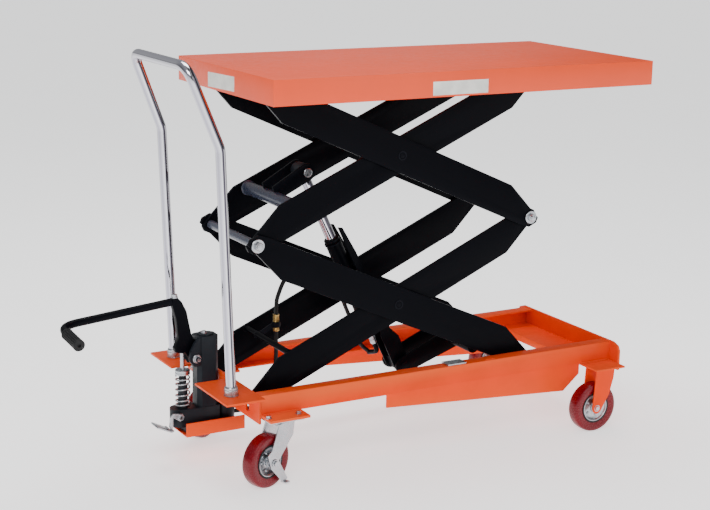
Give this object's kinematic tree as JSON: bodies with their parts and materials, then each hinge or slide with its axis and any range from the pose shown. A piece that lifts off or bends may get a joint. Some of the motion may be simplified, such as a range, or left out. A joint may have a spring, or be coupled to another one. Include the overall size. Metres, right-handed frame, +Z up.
{
  "type": "scissor lift table",
  "caption": "Mobile double scissor lift table: a steel deck on folding arms, raised by a foot pump and a hydraulic cylinder, with a push handle and casters.",
  "frame": {"origin": "centre of the bounding box on the floor", "axes": "+X along the deck, away from the push handle; +Y across the trolley; +Z up"},
  "size_m": [1.691, 0.61, 1.1505],
  "materials": {
    "orange_paint": "orange-red powder coat, satin to glossy",
    "black_paint": "black enamel, semi-gloss",
    "pump_casting": "dark grey enamel over cast metal",
    "zinc": "zinc plate",
    "chrome": "bright chrome plate",
    "blue_steel": "blue-grey paint, glossy",
    "red_urethane": "deep red polyurethane",
    "black_rubber": "matt black rubber",
    "brass": "plain brass"
  },
  "bodies": {
    "base": {"base_rail_near": "orange_paint", "base_rail_far": "orange_paint", "front_end_plate": "orange_paint", "rear_cross_plate": "orange_paint", "handle_plate_near": "orange_paint", "handle_plate_far": "orange_paint", "push_handle": "chrome", "front_fork_near": "orange_paint", "front_fork_far": "orange_paint", "swivel_plate_near": "zinc", "swivel_plate_far": "zinc", "pump_tray": "orange_paint", "pump_body": "pump_casting", "reservoir": "pump_casting", "hose_lower": "black_rubber"},
    "lower_inner": {"lower_inner_arm_near": "black_paint", "lower_inner_arm_far": "black_paint", "lower_inner_crossbar": "black_paint", "hose_sleeve": "brass", "hose_upper": "black_rubber"},
    "lower_outer": {"lower_outer_arm_near": "black_paint", "lower_outer_arm_far": "black_paint", "mid_pivot_shaft": "blue_steel", "cylinder_foot_bracket": "black_paint"},
    "upper_inner": {"upper_inner_arm_near": "black_paint", "upper_inner_arm_far": "black_paint", "rod_bracket": "blue_steel"},
    "upper_outer": {"upper_outer_arm_near": "black_paint", "upper_outer_arm_far": "black_paint", "upper_outer_cross_tube": "black_paint", "mid_pivot_bolt_near": "zinc", "mid_pivot_bolt_far": "zinc"},
    "table": {"deck": "orange_paint", "deck_rail_near": "orange_paint", "deck_rail_far": "orange_paint"},
    "rod": {"cylinder_rod": "chrome"},
    "barrel": {"cylinder_barrel": "black_paint", "cylinder_carrier": "black_paint"},
    "crank": {"pump_crank": "black_paint", "pedal_bar": "black_paint", "pedal_grip": "black_rubber"},
    "piston": {"pump_piston": "zinc", "return_spring": "blue_steel"},
    "release": {"release_pedal": "zinc"},
    "base_roller_near": {"base_roller_near": "zinc"},
    "deck_roller_near": {"deck_roller_near": "zinc"},
    "front_wheel_near": {"front_tyre_near": "red_urethane", "front_hub_near": "zinc"},
    "rear_swivel_near": {"rear_fork_near": "zinc"},
    "rear_wheel_near": {"rear_tyre_near": "red_urethane", "rear_hub_near": "zinc"},
    "brake_near": {"brake_pedal_near": "zinc"},
    "base_roller_far": {"base_roller_far": "zinc"},
    "deck_roller_far": {"deck_roller_far": "zinc"},
    "front_wheel_far": {"front_tyre_far": "red_urethane", "front_hub_far": "zinc"},
    "rear_swivel_far": {"rear_fork_far": "zinc"},
    "rear_wheel_far": {"rear_tyre_far": "red_urethane", "rear_hub_far": "zinc"},
    "brake_far": {"brake_pedal_far": "zinc"}
  },
  "joints": [
    {"name": "fold", "type": "hinge", "parent": "base", "child": "lower_inner", "pos_m": [-0.3477, 0, 0.2224], "axis": [0, -1, 0], "range_deg": [-19.36, 10.2], "deforming": ["hose_lower", "hose_upper"]},
    {"name": "lower_cross", "type": "hinge", "parent": "lower_inner", "child": "lower_outer", "pos_m": [0.09519, 0, 0.43564], "axis": [0, -1, 0], "range_deg": [-20.5, 38.82]},
    {"name": "mid_pivot", "type": "hinge", "parent": "lower_outer", "child": "upper_inner", "pos_m": [-0.3477, 0, 0.64889], "axis": [0, -1, 0], "range_deg": [-38.82, 20.5]},
    {"name": "upper_cross", "type": "hinge", "parent": "upper_inner", "child": "upper_outer", "pos_m": [0.09519, 0, 0.86213], "axis": [0, -1, 0], "range_deg": [-20.5, 38.82]},
    {"name": "table_pivot", "type": "hinge", "parent": "upper_outer", "child": "table", "pos_m": [-0.3477, 0, 1.07537], "axis": [0, -1, 0], "range_deg": [-19.46, 10.3]},
    {"name": "rod_pivot", "type": "hinge", "parent": "upper_inner", "child": "rod", "pos_m": [-0.13506, 0, 0.8112], "axis": [0, -1, 0], "range_deg": [-20.09, 38.04]},
    {"name": "cylinder_stroke", "type": "slide", "parent": "rod", "child": "barrel", "axis": [0.4305, 0, -0.9026], "range_m": [-0.17543, 0.0929]},
    {"name": "crank_pivot", "type": "hinge", "parent": "base", "child": "crank", "pos_m": [-0.4455, 0.05, 0.298], "axis": [0, 1, 0], "range_deg": [-32, 0], "stiffness_Nm_per_rad": 30, "springref_deg": 20.05},
    {"name": "piston_slide", "type": "slide", "parent": "base", "child": "piston", "axis": [0, 0, 1], "range_m": [-0.0226, 0], "deforming": ["return_spring"]},
    {"name": "release_pivot", "type": "hinge", "parent": "base", "child": "release", "pos_m": [-0.5005, 0.02, 0.138], "axis": [0, 1, 0], "range_deg": [-10, 0], "stiffness_Nm_per_rad": 6, "springref_deg": 17.19},
    {"name": "base_roller_spin_near", "type": "hinge", "parent": "lower_outer", "child": "base_roller_near", "pos_m": [0.53807, -0.198, 0.2224], "axis": [0, 1, 0], "continuous": true},
    {"name": "deck_roller_spin_near", "type": "hinge", "parent": "upper_inner", "child": "deck_roller_near", "pos_m": [0.53807, -0.185, 1.07537], "axis": [0, 1, 0], "continuous": true},
    {"name": "front_wheel_spin_near", "type": "hinge", "parent": "base", "child": "front_wheel_near", "pos_m": [0.7125, -0.274, 0.075], "axis": [0, 1, 0], "continuous": true},
    {"name": "swivel_near", "type": "hinge", "parent": "base", "child": "rear_swivel_near", "pos_m": [-0.3125, -0.224, 0.15], "axis": [0, 0, 1], "continuous": true},
    {"name": "rear_wheel_spin_near", "type": "hinge", "parent": "rear_swivel_near", "child": "rear_wheel_near", "pos_m": [-0.36136, -0.24178, 0.075], "axis": [0.342, -0.9397, 0], "continuous": true},
    {"name": "brake_pivot_near", "type": "hinge", "parent": "rear_swivel_near", "child": "brake_near", "pos_m": [-0.36136, -0.24178, 0.075], "axis": [0.342, -0.9397, 0], "range_deg": [-7, 0], "stiffness_Nm_per_rad": 1},
    {"name": "base_roller_spin_far", "type": "hinge", "parent": "lower_outer", "child": "base_roller_far", "pos_m": [0.53807, 0.198, 0.2224], "axis": [0, 1, 0], "continuous": true},
    {"name": "deck_roller_spin_far", "type": "hinge", "parent": "upper_inner", "child": "deck_roller_far", "pos_m": [0.53807, 0.185, 1.07537], "axis": [0, 1, 0], "continuous": true},
    {"name": "front_wheel_spin_far", "type": "hinge", "parent": "base", "child": "front_wheel_far", "pos_m": [0.7125, 0.274, 0.075], "axis": [0, 1, 0], "continuous": true},
    {"name": "swivel_far", "type": "hinge", "parent": "base", "child": "rear_swivel_far", "pos_m": [-0.3125, 0.224, 0.15], "axis": [0, 0, 1], "continuous": true},
    {"name": "rear_wheel_spin_far", "type": "hinge", "parent": "rear_swivel_far", "child": "rear_wheel_far", "pos_m": [-0.3551, 0.19417, 0.075], "axis": [0.5736, -0.8192, 0], "continuous": true},
    {"name": "brake_pivot_far", "type": "hinge", "parent": "rear_swivel_far", "child": "brake_far", "pos_m": [-0.3551, 0.19417, 0.075], "axis": [0.5736, -0.8192, 0], "range_deg": [-7, 0], "stiffness_Nm_per_rad": 1}
  ],
  "couplings": [
    {"joint": "lower_cross", "follows": "fold", "ratio": -2},
    {"joint": "mid_pivot", "follows": "fold", "ratio": 2},
    {"joint": "upper_cross", "follows": "fold", "ratio": -2},
    {"joint": "table_pivot", "follows": "fold", "ratio": 1},
    {"joint": "rod_pivot", "follows": "fold", "ratio": -1.9598},
    {"joint": "cylinder_stroke", "follows": "fold", "m_per_rad": 0.51622},
    {"joint": "piston_slide", "follows": "crank_pivot", "m_per_rad": 0.04}
  ]
}
